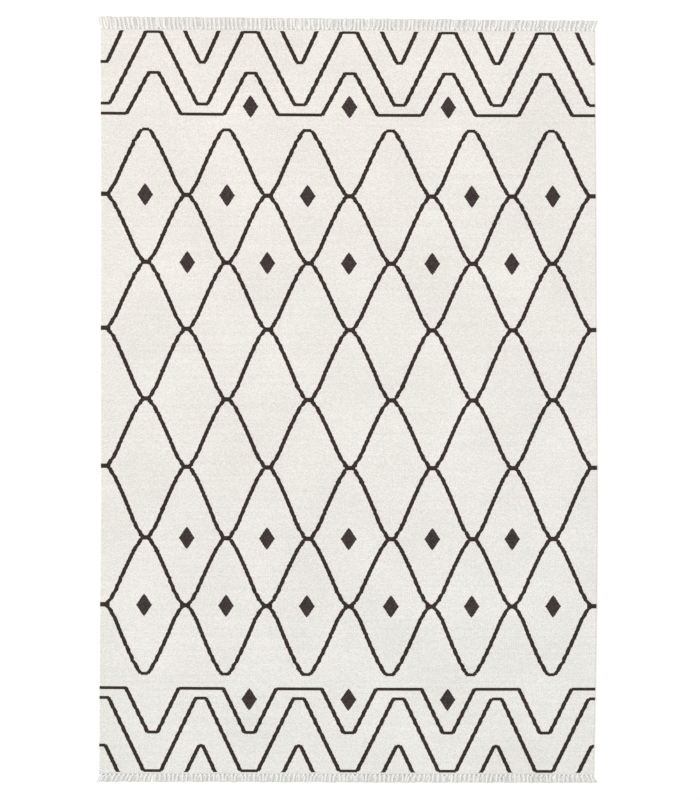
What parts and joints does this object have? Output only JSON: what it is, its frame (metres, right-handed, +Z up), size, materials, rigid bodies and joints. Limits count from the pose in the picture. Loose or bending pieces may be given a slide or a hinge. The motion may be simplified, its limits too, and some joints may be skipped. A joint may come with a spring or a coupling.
{
  "type": "kilim rug",
  "caption": "Flat-woven wool kilim rug for a floor, off-white with a dark zigzag and rounded-diamond figure, knotted fringe at both ends.",
  "frame": {"origin": "on the floor, under the middle of the rug's bounding box with both fringes", "axes": "+X across the rug's width, +Y along its length towards the head end, +Z up from the floor"},
  "size_m": [1.6226, 2.483, 0.0068],
  "materials": {
    "weft_faced_wool": "undyed off-white wool, weft-faced flatweave, matt",
    "dark_wool_figure": "dark brown-grey wool, woven in, matt",
    "warp_fringe": "plied off-white warp yarn, knotted and cut, matt"
  },
  "bodies": {
    "root": {"woven_field": "weft_faced_wool", "fringe_head_end": "warp_fringe", "fringe_foot_end": "warp_fringe"}
  },
  "joints": []
}
